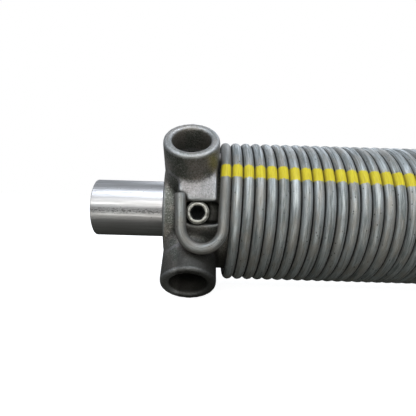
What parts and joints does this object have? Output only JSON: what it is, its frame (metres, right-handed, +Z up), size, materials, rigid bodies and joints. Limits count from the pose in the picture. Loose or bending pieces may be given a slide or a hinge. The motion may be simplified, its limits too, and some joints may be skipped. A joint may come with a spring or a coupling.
{
  "type": "garage door torsion spring",
  "caption": "Left-wound torsion spring on a tube, hooked to a cast winding cone with four bar sockets and to a flanged stationary cone with a ball bearing.",
  "frame": {"origin": "middle of the stationary cone's mounting face, on the shaft's axis", "axes": "+X along the shaft from the winding cone to the mounting face, +Z up, -Y towards the side that shows the front hook"},
  "size_m": [0.5371, 0.108, 0.0706],
  "materials": {
    "spring_wire": "galvanised grey wire, semi-matt, yellow paint mark along the coils",
    "cast_cone": "rough dull cast alloy, worn bright on the socket rims",
    "screw_steel": "zinc plated steel",
    "galvanised_tube": "bright galvanised tube with fine drawing lines",
    "bearing_steel": "ground steel"
  },
  "bodies": {
    "anchor": {"stationary_cone": "cast_cone", "bearing_outer_ring": "bearing_steel", "torsion_spring": "spring_wire"},
    "shaft": {"torsion_tube": "galvanised_tube", "winding_cone": "cast_cone", "set_screw_front": "screw_steel", "set_screw_back": "screw_steel", "bearing_inner_ring": "bearing_steel"},
    "balls": {"bearing_balls": "bearing_steel"}
  },
  "joints": [
    {"name": "shaft_turn", "type": "hinge", "parent": "anchor", "child": "shaft", "pos_m": [0, 0, 0], "axis": [1, 0, 0], "range_deg": [0, 2700], "stiffness_Nm_per_rad": 0.2343, "deforming": ["torsion_spring"]},
    {"name": "ball_orbit", "type": "hinge", "parent": "anchor", "child": "balls", "pos_m": [0, 0, 0], "axis": [1, 0, 0], "range_deg": [0, 1106]}
  ],
  "couplings": [
    {"joint": "ball_orbit", "follows": "shaft_turn", "ratio": 0.4091}
  ]
}
